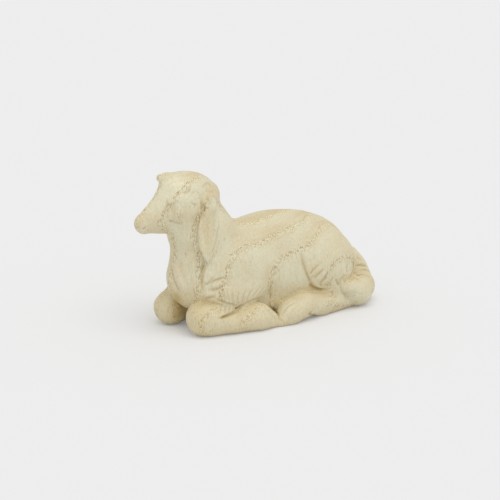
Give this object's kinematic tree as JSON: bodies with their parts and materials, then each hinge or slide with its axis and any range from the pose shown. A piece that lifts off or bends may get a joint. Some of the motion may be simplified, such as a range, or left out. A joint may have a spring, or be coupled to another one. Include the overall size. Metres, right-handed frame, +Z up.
{
  "type": "sheep figurine",
  "caption": "Small carved wooden sheep, unpainted, lying with folded legs on a flat base, head up and turned a little, ears hanging, tail curled to one side.",
  "frame": {"origin": "on the flat base, under the middle of the belly", "axes": "-X towards the nose and +X towards the tail, -Y towards the sheep's left side, +Z up"},
  "size_m": [0.079, 0.0324, 0.0471],
  "materials": {
    "wood": "bare sanded ash-like wood, open pores, no paint or varnish"
  },
  "bodies": {
    "root": {"body": "wood", "neck": "wood", "head": "wood", "wool_cap": "wood", "forelock": "wood", "tail": "wood", "tail_tuft": "wood", "left_ear": "wood", "left_shoulder": "wood", "left_forearm": "wood", "left_fore_cannon": "wood", "left_fore_hoof": "wood", "left_haunch": "wood", "left_hind_cannon": "wood", "left_hind_hoof": "wood", "right_ear": "wood", "right_shoulder": "wood", "right_forearm": "wood", "right_fore_cannon": "wood", "right_fore_hoof": "wood", "right_haunch": "wood", "right_hind_cannon": "wood", "right_hind_hoof": "wood"}
  },
  "joints": []
}
